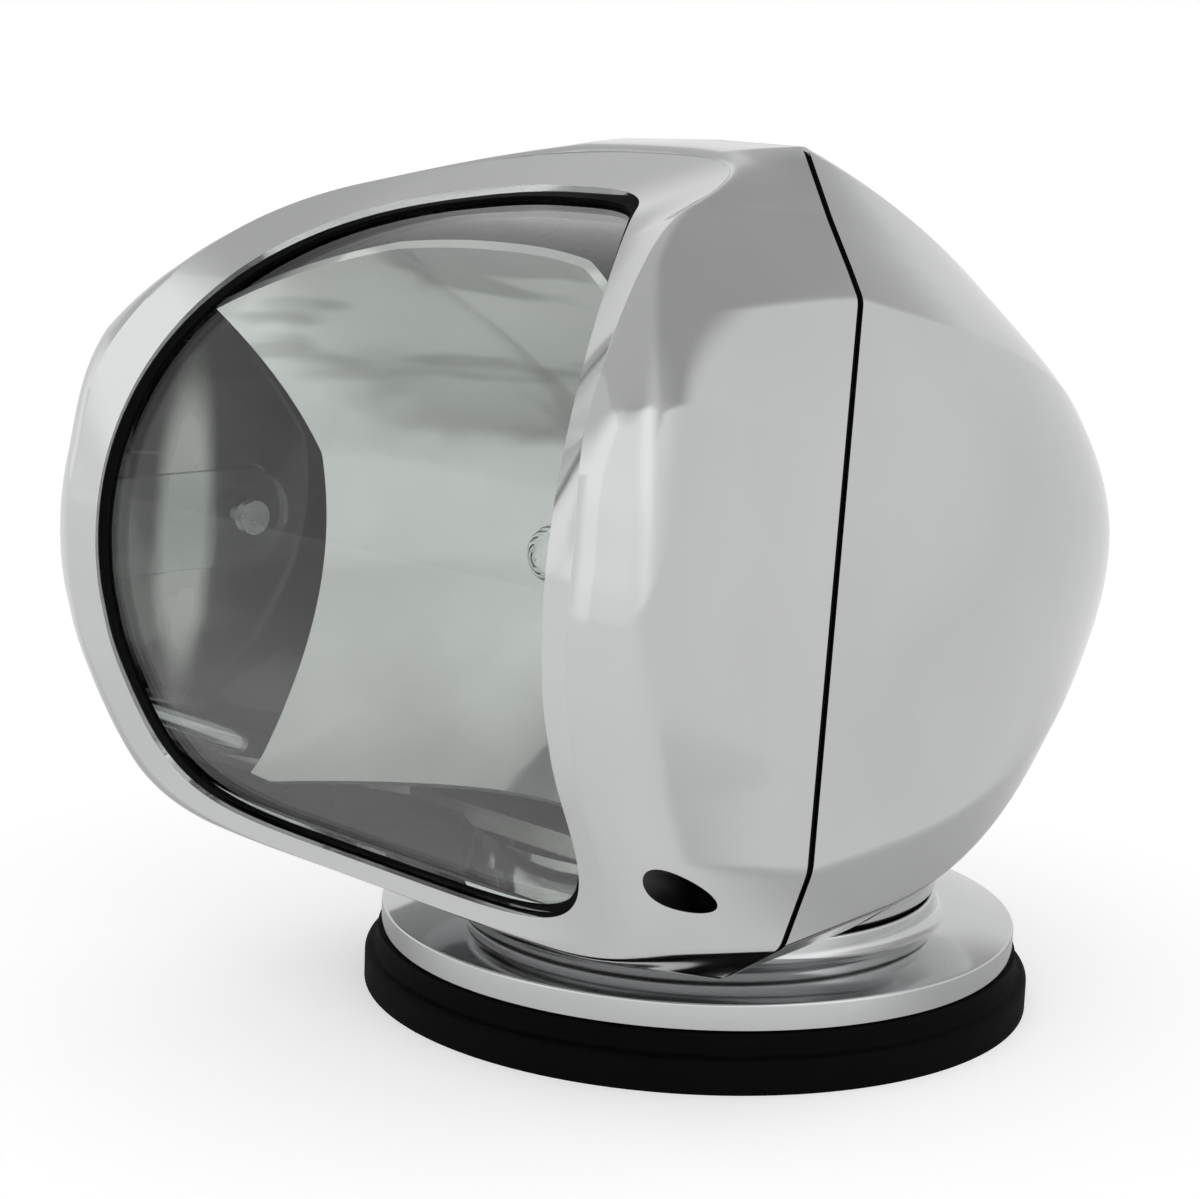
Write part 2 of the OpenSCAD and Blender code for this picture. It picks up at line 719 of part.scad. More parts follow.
module board_parts() {
    face = board_y + 1.6;
    color(plastic) {
        for (x = [-22, -3]) translate([x, face, box_z + 6]) cube([15, 9, 12]);
        translate([-20, face, box_z + 26]) cube([24, 4, 10]);
        translate([16, face, box_z + 30]) rotate([-90, 0, 0]) cylinder(r = 5, h = 11);
    }
}

// Lamp, tilting on the trunnions

module reflector() {
    color("#e3e6e8") tilted() difference() {
        intersection() {
            dish_solid(reflector_t);
            rotate([90, 0, 90]) translate([0, 0, -reflector_half])
                cylinder(r = swing_r, h = 2 * reflector_half, $fn = fine);
            translate([-100, -100, -low_cut]) cube(200);
        }
        dish_solid(0);
        rotate([-90, 0, 0]) cylinder(r = lamp_port_r, h = 60);
    }
}

// Arms that follow the lower half of the reflector's back, joined by a tie rod
module lamp_cradle() {
    arm = [
        [-16, -33], [4, -31], [tie_y + 3, -tie_z - 4], [tie_y + 4, -tie_z + 4], [9.5, -7],
        [9.5, 7], [4, 13], [-10, 14]
    ];
    color("#8f9294") tilted() difference() {
        union() {
            each_side() rotate([90, 0, 90]) translate([0, 0, arm_x]) linear_extrude(arm_t) polygon(arm);
            translate([-arm_x, tie_y, -tie_z]) rotate([0, 90, 0]) cylinder(r = tie_r, h = 2 * arm_x);
        }
        dish_solid(reflector_t);
        rotate([90, 0, 90]) translate([0, 0, -100]) cylinder(r = pin_r, h = 200);
    }
}

module trunnion_pins() {
    color("#b4b6b8") each_side() side_plate(arm_x, bracket_x + bracket_t + 0.5 - arm_x) circle(r = pin_r);
}

// Toothed sector on the arm, in mesh with the tilt pinion at rest
module tilt_sector() {
    color("#d8d4c6") difference() {
        side_plate(sector_x, sector_t) intersection() {
            difference() {
                polygon(gear_outline(sector_teeth, sector_angle));
                circle(r = 12);
            }
            polygon([[2, 3], for (a = [18, 0, -18, -36, -54, -72]) 50 * [cos(a), sin(a)], [2, -3]]);
        }
        tilted() translate([-60, tie_y, -tie_z]) rotate([0, 90, 0]) cylinder(r = tie_r, h = 40);
    }
}

module bulb_holder() {
    color("#d9d4c8") tilted() rotate([-90, 0, 0]) {
        translate([0, 0, vertex - 4]) cylinder(r = lamp_port_r - 0.3, h = 18);
        translate([0, 0, vertex + reflector_t]) cylinder(r = lamp_port_r + 4, h = 2);
    }
}

module bulb_clip() {
    color(zinc) tilted() rotate([-90, 0, 0]) translate([0, 0, vertex + reflector_t + 2])
        tube(lamp_port_r + 3, lamp_port_r - 0.3, 0.8);
}

module bulb_glass() {
    glass_r = 5.5;
    glass_t = 0.8;
    base = vertex - 4;
    color("#e8f0f2", 0.4) tilted() rotate([90, 0, 0]) rotate_extrude() polygon(concat(
        [[glass_r - glass_t, -base], [glass_r, -base]],
        [for (a = [0 : 15 : 90]) [glass_r * cos(a), 5 + glass_r * sin(a)]],
        [for (a = [90 : -15 : 0]) let (r = glass_r - glass_t) [r * cos(a), 5 + r * sin(a)]]
    ));
}

module filament() {
    base = vertex - 4;
    color("#8a8478") tilted() {
        translate([-3, -3, 0]) rotate([0, 90, 0]) cylinder(r = 0.9, h = 6);
        for (x = [-2, 2]) translate([x, -3, 0]) rotate([-90, 0, 0]) cylinder(r = 0.4, h = base + 3);
    }
}

base_gasket();
base_flange();
base_inserts();
pan_spindle();
cable_grommet();
thrust_washer();
pan_gear();
spindle_nut();
turntable();
pan_bush();
neck_seal();
rear_housing();
front_housing();
housing_gasket();
housing_screws();
lens();
lens_gasket();
lens_screws();
chassis();
chassis_screws();
tilt_bushes();
pan_gearbox();
pan_motor();
pan_pinion();
tilt_gearbox();
tilt_motor();
tilt_pinion();
board_standoffs();
control_board();
board_parts();
reflector();
lamp_cradle();
trunnion_pins();
tilt_sector();
bulb_holder();
bulb_clip();
bulb_glass();
filament();
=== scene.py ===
"""Marine searchlight: the finishes, smooth skins and setting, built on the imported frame."""

import json
import math

import bmesh
import bpy
from mathutils import Matrix, Vector


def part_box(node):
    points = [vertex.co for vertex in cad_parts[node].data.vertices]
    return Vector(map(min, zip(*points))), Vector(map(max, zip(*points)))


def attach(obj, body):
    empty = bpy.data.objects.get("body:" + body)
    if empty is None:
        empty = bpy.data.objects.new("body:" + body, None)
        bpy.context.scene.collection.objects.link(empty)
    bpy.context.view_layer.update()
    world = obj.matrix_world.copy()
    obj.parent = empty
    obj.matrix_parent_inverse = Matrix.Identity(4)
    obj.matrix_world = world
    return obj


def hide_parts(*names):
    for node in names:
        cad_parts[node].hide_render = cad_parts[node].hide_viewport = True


MM = 0.001

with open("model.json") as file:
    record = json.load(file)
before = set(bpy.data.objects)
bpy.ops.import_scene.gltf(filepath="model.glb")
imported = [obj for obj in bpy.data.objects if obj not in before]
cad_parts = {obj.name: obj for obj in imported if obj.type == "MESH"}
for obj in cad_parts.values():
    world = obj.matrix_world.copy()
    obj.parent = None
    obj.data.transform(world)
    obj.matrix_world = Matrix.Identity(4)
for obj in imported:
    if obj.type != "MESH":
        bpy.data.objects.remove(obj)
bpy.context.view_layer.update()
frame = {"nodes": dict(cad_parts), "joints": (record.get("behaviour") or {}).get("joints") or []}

# Deck gasket
# A moulded black rubber ring in two tiers, wider than the flange above it.
# It is laid loose on the deck and squeezed by the deck bolts.


class Wire:
    """A socket in a node tree. Sums and products of wires add Math nodes."""

    def __init__(self, tree, socket):
        self.tree = tree
        self.socket = socket

    def node(self, kind, inputs, output=0, **settings):
        """Adds a node of any kind, with its settings, its values and its links."""
        made = self.tree.nodes.new(kind)
        for key, value in settings.items():
            setattr(made, key, value)
        for key, value in inputs.items():
            if isinstance(value, Wire):
                self.tree.links.new(value.socket, made.inputs[key])
            else:
                made.inputs[key].default_value = value
        return Wire(self.tree, made.outputs[output])

    def __add__(self, other):
        return self.node("ShaderNodeMath", {0: self, 1: other}, operation="ADD")

    def __sub__(self, other):
        return self.node("ShaderNodeMath", {0: self, 1: other}, operation="SUBTRACT")

    def __rsub__(self, other):
        return self.node("ShaderNodeMath", {0: other, 1: self}, operation="SUBTRACT")

    def __mul__(self, other):
        return self.node("ShaderNodeMath", {0: self, 1: other}, operation="MULTIPLY")

    def __abs__(self):
        return self.node("ShaderNodeMath", {0: self}, operation="ABSOLUTE")

    __radd__ = __add__
    __rmul__ = __mul__

    def axis(self, name):
        """One coordinate of a place: X, Y or Z."""
        return self.node("ShaderNodeSeparateXYZ", {0: self}, name)

    def along(self, way):
        """How far a place or a direction lies along a way."""
        return self.node(
            "ShaderNodeVectorMath", {0: self, 1: way}, "Value", operation="DOT_PRODUCT"
        )

    def length(self):
        return self.node("ShaderNodeVectorMath", {0: self}, "Value", operation="LENGTH")

    def stretched(self, scale, turn=(0, 0, 0), shift=(0, 0, 0)):
        """Coordinates scaled, turned and then shifted, for a pattern with a grain."""
        return self.node(
            "ShaderNodeMapping",
            {"Vector": self, "Location": shift, "Rotation": turn, "Scale": scale},
        )

    def noise(self, scale, detail=3.0):
        return self.node("ShaderNodeTexNoise", {"Vector": self, "Scale": scale, "Detail": detail})

    def between(self, low, high):
        """Goes from 0 at low to 1 at high, with soft ends."""
        return self.node(
            "ShaderNodeMapRange",
            {"Value": self, "From Min": low, "From Max": high},
            interpolation_type="SMOOTHSTEP",
        )

    def tint(self, dark, light):
        """A colour from dark at 0 to light at 1."""
        return self.node(
            "ShaderNodeMix", {0: self, 6: (*dark, 1), 7: (*light, 1)}, output=2, data_type="RGBA"
        )

    def bump(self, strength, distance):
        return self.node(
            "ShaderNodeBump", {"Height": self, "Strength": strength, "Distance": distance}
        )

    def to(self, shader, name):
        self.tree.links.new(self.socket, shader.inputs[name])


def finish(name):
    """A new material: itself, its shader, and the piece's own coordinates as a wire."""
    material = bpy.data.materials.new(name)
    material.use_nodes = True
    tree = material.node_tree
    place = tree.nodes.new("ShaderNodeTexCoord")
    return material, tree.nodes["Principled BSDF"], Wire(tree, place.outputs["Object"])


def rubber(name, tone, gloss):
    """Black rubber: greyish bloom in patches, and a fine moulded grain."""
    material, shader, at = finish(name)
    bloom = at.noise(35, 4).between(0.35, 0.75)
    grain = at.noise(1400, 2)
    bloom.tint((tone,) * 3, (tone * 1.7,) * 3).to(shader, "Base Color")
    (gloss + bloom * 0.12 + grain * 0.06).to(shader, "Roughness")
    grain.bump(0.12, 0.0002).to(shader, "Normal")
    shader.inputs["Specular IOR Level"].default_value = 0.04
    return material


def arc(across, up, radius, start, end, count=8):
    """Points on a rounded edge of a turned profile, angles in degrees."""
    turn = [math.radians(start + (end - start) * i / count) for i in range(count + 1)]
    return [(across + radius * math.cos(a), up + radius * math.sin(a)) for a in turn]


def spun(profile, steps=200):
    """Turns a closed profile of (radius, height) about the pan axis."""
    mesh = bmesh.new()
    points = [mesh.verts.new((r, 0, z)) for r, z in profile]
    edges = [mesh.edges.new(pair) for pair in zip(points, points[1:] + points[:1])]
    bmesh.ops.spin(
        mesh,
        geom=points + edges,
        cent=(0, 0, 0),
        axis=(0, 0, 1),
        angle=2 * math.pi,
        steps=steps,
        use_merge=True,
    )
    bmesh.ops.recalc_face_normals(mesh, faces=mesh.faces)
    return mesh


def piece(name, mesh, materials, body, slot, *replaced, sharp=32):
    """Makes the object, smooth but for its creases, and puts it on its body in the frame."""
    for edge in mesh.edges:
        edge.smooth = edge.calc_face_angle(0) < math.radians(sharp)
    for face in mesh.faces:
        face.smooth = True
    data = bpy.data.meshes.new(name)
    mesh.to_mesh(data)
    mesh.free()
    thing = bpy.data.objects.new(name, data)
    bpy.context.scene.collection.objects.link(thing)
    for material in materials:
        data.materials.append(material)
    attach(thing, body)
    if replaced:
        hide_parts(*replaced)
    return thing


gasket_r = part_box("base_gasket")[1].x
gasket_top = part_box("base_gasket")[1].z
flange_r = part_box("base_flange")[1].x
core_r = 29 * MM
tier_z = 0.62 * gasket_top
tier_round = 1.2 * MM
upper_tier_foot = flange_r + 2 * MM
upper_tier_r = flange_r + 0.6 * MM
gasket_rubber = rubber("deck gasket rubber", 0.002, 0.6)
piece(
    "deck_gasket",
    spun(
        [(core_r, 0), (gasket_r, 0)]
        + arc(gasket_r - tier_round, tier_z - tier_round, tier_round, 0, 75)
        + arc(upper_tier_foot, tier_z + tier_round, tier_round, 255, 180)
        + [(upper_tier_r, gasket_top), (core_r, gasket_top)]
    ),
    [gasket_rubber],
    "base",
    "rubber",
    "base_gasket",
)

# Base casting
# A zinc casting turned on its band, then polished and chromed all over.
# The deck bolts come up through the gasket into blind inserts under it.


def plated(name, light, gloss, haze):
    """Chrome plate: polishing haze in patches, wipe marks and a slight orange peel."""
    material, shader, at = finish(name)
    patches = at.noise(22, 4).between(0.3, 0.75)
    wipes = at.stretched((900, 35, 60), turn=(0.3, 0.5, 0.9)).noise(1, 2)
    peel = at.noise(190, 2)
    patches.tint(tuple(c * 0.95 for c in light), light).to(shader, "Base Color")
    shader.inputs["Metallic"].default_value = 1
    (gloss + patches * haze + wipes.between(0.55, 0.8) * (haze * 0.4)).to(shader, "Roughness")
    (peel + wipes * 0.15).bump(0.05, 0.00012).to(shader, "Normal")
    return material


base_chrome = plated("base chrome", (0.57, 0.575, 0.58), 0.06, 0.06)
neck_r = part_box("turntable")[1].x
neck_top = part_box("base_flange")[1].z
neck_fillet = 2.4 * MM
band_top = gasket_top + 5.2 * MM
band_round = 0.6 * MM
edge_round = 0.5 * MM
ring_r = neck_r + 5.5 * MM
ring_z = band_top + 1.6 * MM
spindle_r = 9 * MM
recess_r = 20 * MM
recess_z = neck_top - 1.6 * MM
piece(
    "base_casting",
    spun(
        [(spindle_r, gasket_top), (flange_r - band_round, gasket_top)]
        + arc(flange_r - edge_round, gasket_top + edge_round, edge_round, -90, 0, 4)
        + arc(flange_r - band_round, band_top - band_round, band_round, 0, 80)
        + [(ring_r, ring_z)]
        + arc(neck_r + neck_fillet, ring_z + neck_fillet, neck_fillet, 270, 180)
        + arc(neck_r - edge_round, neck_top - edge_round, edge_round, 0, 90, 4)
        + [(recess_r, neck_top), (recess_r, recess_z), (spindle_r, recess_z)]
    ),
    [base_chrome],
    "base",
    "chrome_base",
    "base_flange",
)

# Spindle and its fittings
# Turned steel spindle, brass inserts, nylon washer, sintered gear and a zinc-plated nut.
# They are inside the base and the head, and carry the head on the deck.


def metal(name, dark, light, gloss, grain=600.0):
    """Bare or plated metal: dull patches and fine tooling grain."""
    material, shader, at = finish(name)
    patches = at.noise(60, 4).between(0.3, 0.7)
    grit = at.noise(grain, 2)
    patches.tint(dark, light).to(shader, "Base Color")
    shader.inputs["Metallic"].default_value = 1
    (gloss + patches * 0.12 + grit * 0.08).to(shader, "Roughness")
    grit.bump(0.1, 0.0001).to(shader, "Normal")
    return material


def moulding(name, dark, light, gloss):
    """Moulded plastic: faint flow patches and a fine mould texture."""
    material, shader, at = finish(name)
    patches = at.noise(40, 3).between(0.3, 0.7)
    grain = at.noise(1800, 2)
    patches.tint(dark, light).to(shader, "Base Color")
    (gloss + grain * 0.1).to(shader, "Roughness")
    grain.bump(0.1, 0.0001).to(shader, "Normal")
    return material


def dress(material, slot, *names):
    """Gives CAD nodes that are kept as they are their finish."""
    for name in names:
        node = frame["nodes"][name]
        node.data.materials.clear()
        node.data.materials.append(material)


steel = metal("turned steel", (0.46, 0.46, 0.46), (0.56, 0.56, 0.57), 0.22)
brass = metal("brass", (0.5, 0.36, 0.13), (0.62, 0.46, 0.2), 0.25)
zinc = metal("zinc plate", (0.5, 0.5, 0.47), (0.62, 0.62, 0.6), 0.3)
gear_steel = metal("sintered gear steel", (0.3, 0.3, 0.29), (0.4, 0.4, 0.39), 0.35)
nylon = moulding("natural nylon", (0.66, 0.62, 0.52), (0.74, 0.7, 0.6), 0.4)
dress(steel, "steel", "pan_spindle", "housing_screws", "lens_screws", "trunnion_pins")
dress(brass, "brass", "base_inserts", "pan_bush", "board_standoffs")
dress(gasket_rubber, "rubber", "cable_grommet", "neck_seal")
dress(nylon, "nylon", "thrust_washer", "tilt_bushes")
dress(gear_steel, "steel", "pan_gear", "pan_pinion", "tilt_pinion")
dress(zinc, "zinc_sheet", "spindle_nut", "chassis_screws", "bulb_clip")

# Turntable
# Chromed casting whose collar shows as a short drum between the neck and the head.
# It turns on the spindle with its bush, and the rear shell and the chassis are screwed to it.
collar_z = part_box("turntable")[0].z
hub_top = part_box("turntable")[1].z
head_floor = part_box("front_housing")[0].z
seat_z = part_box("rear_housing")[0].z
pad_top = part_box("chassis")[0].z
collar_low = neck_top + 1 * MM
collar_round = 0.4 * MM
bush_r = 12 * MM
hub_r = 16 * MM
port_r = 30 * MM
spigot_r = port_r - 0.1 * MM
spigot_bore = port_r - 4 * MM
piece(
    "turntable_collar",
    spun(
        [(bush_r, collar_z), (hub_r, collar_z), (hub_r, collar_low)]
        + arc(neck_r - collar_round, collar_low + collar_round, collar_round, -90, 0, 4)
        + [(neck_r, seat_z), (spigot_r, seat_z), (spigot_r, pad_top)]
        + [(spigot_bore, pad_top), (spigot_bore, head_floor), (hub_r, head_floor)]
        + [(hub_r, hub_top), (bush_r, hub_top)]
    ),
    [base_chrome],
    "head",
    "chrome_base",
    "turntable",
)

# Rear shell
# Zinc casting, polished and chromed outside, left as cast inside.
# Its flat panels at the seam melt into an oval tail. It is screwed down to the turntable.
tilt_axis = next(j for j in frame["joints"] if j["name"] == "tilt")["pos_m"]
tilt_y, tilt_z = tilt_axis[1], tilt_axis[2]
roof_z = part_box("front_housing")[1].z
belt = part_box("rear_housing")[1].x
tail_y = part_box("rear_housing")[1].y
tail_z = head_floor + 54.4 * MM
tail_half, tail_up, tail_down = 66 * MM, 72 * MM, 56 * MM
tail_blend = 36 * MM
panel_hold = 32 * MM
rear_wall = 1.6 * MM
pad_r = neck_r - 0.5 * MM
past_cut = 5 * MM
seam_lean = math.tan(math.radians(20))
seam_open = 1.5 * MM
seam_top_y = -5 * MM
corner_round = 1.2 * MM
rail_spacing = 1.4 * MM

# Corners of the seam: angle on the visor's rim, half width, height, bulge of the shoulder,
# and the way the corner moves inward across and up.
seam_corners = [
    (90, 0, roof_z, 0.1, 0, 1),
    (82, 22.5 * MM, roof_z - 0.5 * MM, 0.1, 0.5, 1),
    (60, 33 * MM, roof_z - 12.4 * MM, 0.01, 0.8, 0.7),
    (45, 41 * MM, roof_z - 20.8 * MM, 0.04, 1, 0.5),
    (37, 45 * MM, roof_z - 25.2 * MM, 0.08, 1.08, 0.4),
    (25, 51.4 * MM, roof_z - 49 * MM, 0.19, 1.07, 0.25),
    (-7.5, belt, head_floor + 19.5 * MM, 0.23, 1.04, -0.16),
    (-31, belt - 1.2 * MM, head_floor + 7.4 * MM, 0.19, 0.95, -0.5),
    (-66, belt - 11.6 * MM, head_floor, 0.08, 0.5, -1),
    (-90, 0, head_floor, 0.03, 0, -1),
]


def mix(a, b, share):
    return tuple(x + (y - x) * share for x, y in zip(a, b))


def soft(share):
    """Eases a share from 0 to 1, and holds it there beyond."""
    share = min(1, max(0, share))
    return share * share * (3 - 2 * share)


def rounded_rails(corners, radius, spacing):
    """Rails from the roof round to the floor, closely spaced, with the corners rounded."""
    longest_cut = 0.4
    arc_steps = 6
    rails = [corners[0]]
    for before, here, after in zip(corners, corners[1:], corners[2:] + [None]):
        reach = math.dist(before[1:3], here[1:3])
        cut = min(longest_cut, radius / reach) if after else 0
        stop = mix(here, before, cut)
        count = max(2, round(reach / spacing))
        start = rails[-1]
        rails += [mix(start, stop, i / count) for i in range(1, count + 1)]
        if after:
            ahead = math.dist(here[1:3], after[1:3])
            leave = mix(here, after, min(longest_cut, radius / ahead))
            for i in range(1, arc_steps):
                u = i / arc_steps
                rails.append(mix(mix(stop, here, u), mix(here, leave, u), u))
            rails.append(leave)
    return rails


rails = rounded_rails(seam_corners, corner_round, rail_spacing)


def seam_y(z):
    return seam_top_y - seam_lean * (roof_z - z)


def seam_point(rail, inset, shift):
    """A rail's point in the leaning plane of the seam, moved inward and back."""
    z = rail[2] - inset * rail[5]
    return Vector((rail[1] - inset * rail[4], seam_y(z) + shift, z))


def tail_point(rail, v, inset):
    """The rear shell from the seam (v = 0), closing to the tail (v = 1)."""
    seam = seam_point(rail, inset, seam_open / 2)
    rise = seam.z - tail_z
    upper = soft(rise / tail_blend + 0.5)
    height = tail_down + (tail_up - tail_down) * upper - inset
    oval = math.hypot(seam.x / (tail_half - inset), rise / height)
    delay = 0.2 * soft(-rise / panel_hold)
    melt = soft((v - delay) / (1 - delay))
    rounding = 1 - melt + melt / oval
    # A taper and a rounded end: across, above the tail's height and below it.
    close_x = (1 - 0.26 * v + 0.06 * v * v) * math.sqrt(1 - v**3.1)
    above = (1 - 0.42 * v + 0.05 * v * v) * math.sqrt(1 - v**3.6)
    below = (1 - 0.05 * v) * math.sqrt(1 - v**4.5)
    close_z = below + (above - below) * upper
    y = seam.y + (tail_y - inset - seam.y) * v
    return Vector((seam.x * rounding * close_x, y, tail_z + rise * rounding * close_z))


def weld(mesh, gap):
    """Merges doubled points, drops loose edges and turns the faces outward."""
    bmesh.ops.remove_doubles(mesh, verts=mesh.verts, dist=gap)
    loose = [edge for edge in mesh.edges if not edge.link_faces]
    bmesh.ops.delete(mesh, geom=loose, context="EDGES")
    bmesh.ops.recalc_face_normals(mesh, faces=mesh.faces)


def lofted(rows, inner=None):
    """A closed skin over rows of points on the near half of the head and their mirror images.
    Faces from the row inner onwards look into the head and take the second finish."""
    rings = []
    for row in rows:
        mirrored = [Vector((-p.x, p.y, p.z)) for p in reversed(row[1:-1])]
        rings.append(row + mirrored + [row[0]])
    rings.append(rings[0])
    mesh = bmesh.new()
    across, along = len(rings[0]) - 1, len(rings) - 1
    bmesh.ops.create_grid(mesh, x_segments=across, y_segments=along, size=1)
    for face in mesh.faces:
        row = (face.calc_center_median().y + 1) / 2 * along
        face.material_index = 1 if inner is not None and inner <= row < along - 1 else 0
    for vert in mesh.verts:
        i = round((vert.co.x + 1) / 2 * across)
        j = round((vert.co.y + 1) / 2 * along)
        vert.co = rings[j][i]
    weld(mesh, 2e-6)
    return mesh


def carved(mesh, tool, operation="DIFFERENCE"):
    """The mesh after a cut by, or a join with, a second mesh."""
    both = []
    for source in (mesh, tool):
        data = bpy.data.meshes.new("carving")
        source.to_mesh(data)
        source.free()
        thing = bpy.data.objects.new("carving", data)
        bpy.context.scene.collection.objects.link(thing)
        both.append(thing)
    cut = both[0].modifiers.new("cut", "BOOLEAN")
    cut.object, cut.operation, cut.solver = both[1], operation, "EXACT"
    bpy.context.view_layer.update()
    result = bmesh.new()
    result.from_object(both[0], bpy.context.evaluated_depsgraph_get())
    for thing in both:
        bpy.data.meshes.remove(thing.data)
    return result


def drum(radius, low, high, place=Matrix()):
    """A round bar along Z, then put in its place."""
    mesh = spun([(0, low), (radius, low), (radius, high), (0, high)], 64)
    weld(mesh, 1e-7)
    bmesh.ops.transform(mesh, matrix=place, verts=mesh.verts)
    return mesh


def eased(shell):
    """Breaks the sharp edges of a shell, at its seam and its openings."""
    edge = shell.modifiers.new("seam edge", "BEVEL")
    edge.width, edge.segments, edge.limit_method = 0.3 * MM, 2, "ANGLE"
    edge.angle_limit = math.radians(40)


shell_chrome = plated("shell chrome", (0.565, 0.57, 0.572), 0.05, 0.05)

# Inside, painted shade darkens the side walls, more so deeper in, and the roof, and a painted
# highlight makes a pale upright strip behind the lip.
inside_with_painted_light, shader, at = finish("shell inside with painted light")
patches = at.noise(30, 4).between(0.3, 0.75)
painted_wall_shade = abs(at.axis("X")).between(0.038, 0.052)
painted_highlight_strip = 1 - at.stretched((0, 160, 29), shift=(0, 11.3, -2.4)).length().between(0.5, 1.1)
painted_roof_shade = at.axis("Z").between(0.05, 0.13)
painted_depth_shade = at.axis("Y").between(-0.085, -0.06)
tone = (0.54 - painted_roof_shade * 0.3) * (1 - painted_wall_shade * (0.7 + painted_depth_shade * 0.2)) + painted_highlight_strip * 0.9 + patches * 0.03
tone.tint((0, 0, 0), (1, 1.03, 0.98)).to(shader, "Base Color")
(0.9 - painted_highlight_strip * 0.8).to(shader, "Metallic")
(0.06 + patches * 0.08 + painted_highlight_strip * 0.2).to(shader, "Roughness")
at.noise(160, 2).bump(0.08, 0.0003).to(shader, "Normal")

tail_rows = 36
closing = [1 - (1 - i / tail_rows) ** 2 for i in range(tail_rows + 1)]
outside = [[tail_point(rail, v, 0) for rail in rails] for v in closing]
inside = [[tail_point(rail, v, rear_wall) for rail in rails] for v in reversed(closing)]
rear = lofted(outside + inside, len(outside))
rear = carved(rear, drum(pad_r, seat_z, pad_top), "UNION")
rear = carved(rear, drum(port_r, seat_z - past_cut, pad_top + past_cut))
rear_shell = piece(
    "rear_shell", rear, [shell_chrome, inside_with_painted_light], "head", "chrome_shell", "rear_housing"
)
eased(rear_shell)

# Front shell
# Second chromed casting, from the seam over a rounded shoulder to the visor round the lens.
# Two screws in open bores, low on its sides, pull it against the rear shell.
front_wall = 2.5 * MM
rim_r = tilt_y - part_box("front_housing")[0].y
rim_half, rim_up, rim_down = 65.5 * MM, 83 * MM, 40 * MM
rim_square = (3, 5)
rim_z = tilt_z - 13 * MM
rim_proud = 3 * MM
proud_from, proud_over = tilt_z + 12 * MM, 22 * MM
lip_r = 63 * MM
lip_half, lip_up, lip_down = rim_half - 6.7 * MM, rim_up - 6 * MM, rim_down - 3 * MM
lip_square = (2.8, 5)
lip_t = 1.6 * MM
brow, chin = math.radians(13), math.radians(24)
shoulder_weight = 2.5
shoulder_back = 0.045


def outline(angle, half, up, down, square):
    """Point on a rounded outline about the rim's height, as (half width, height)."""
    a = math.radians(angle)
    c, s = max(0.0, math.cos(a)), math.sin(a)
    square_up, square_down = square
    if s >= 0:
        return half * c ** (2 / square_up), rim_z + up * s ** (2 / square_up)
    return half * c ** (2 / square_down), rim_z - down * (-s) ** (2 / square_down)


def visor_point(place, r, depth):
    """Point of the visor at (half width, height): an arc, a straight brow and a straight chin."""
    x, z = place
    s = (z - tilt_z) / r
    if s > math.cos(brow):
        a = math.pi / 2 - brow
    elif s < -math.sin(chin):
        a = -chin
    else:
        a = math.asin(s)
    past = z - tilt_z - r * math.sin(a)
    y = tilt_y - r * math.cos(a) + (past / math.tan(brow) if past > 0 else -past * math.tan(chin))
    return Vector((x, y + depth * math.cos(a), z - depth * math.sin(a)))


def lip_outline(rail, side=0.0, top=0.0, bottom=0.0):
    """The lip's edge on a rail, grown outward by so much at the side, the top and the bottom."""
    return outline(rail[0], lip_half + side, lip_up + top, lip_down + bottom, lip_square)


def rim_point(rail, inset):
    """The rim's crease, which stands proud of the visor above its middle."""
    place = outline(rail[0], rim_half - inset, rim_up - inset, rim_down - inset, rim_square)
    proud = Vector((0, rim_proud * soft((place[1] - proud_from) / proud_over), 0))
    return visor_point(place, rim_r - inset, 0) - proud


def shoulder_point(rail, t, inset):
    """The front shell: a conic from the seam (t = 0) to the rim's crease (t = 1)."""
    seam, rim = seam_point(rail, inset, -seam_open / 2), rim_point(rail, inset)
    x, z = outline(rail[0], rim_half, rim_up, rim_down, rim_square)
    upper = rail[0] >= 0
    height, power = (rim_up, rim_square[0] - 1) if upper else (rim_down, rim_square[1] - 1)
    across = (x / rim_half) ** power / rim_half
    up = (abs(z - rim_z) / height) ** power / height
    outward = Vector((across, 0, up if upper else -up)).normalized()
    span = (seam - rim).length
    pull = rim + outward * (rail[3] * span) + Vector((0, shoulder_back * span, 0))
    a, b, c = (1 - t) ** 2, 2 * shoulder_weight * t * (1 - t), t * t
    return (a * seam + b * pull + c * rim) / (a + b + c)


shoulder_rows = 32
shoulder = [i / shoulder_rows for i in range(shoulder_rows + 1)]
band_rows = (0.04, 0.3, 0.65, 0.95)
outside = [[shoulder_point(rail, t, 0) for rail in rails] for t in shoulder]
lip = [[visor_point(lip_outline(rail), lip_r, depth) for rail in rails] for depth in (0, lip_t)]
band = [
    [crease.lerp(edge, share) for crease, edge in zip(outside[-1], lip[0])]
    for share in band_rows
]
inside = [[shoulder_point(rail, t, front_wall) for rail in rails] for t in reversed(shoulder)]
front = lofted(outside + band + lip + inside, len(outside + band) + 1)

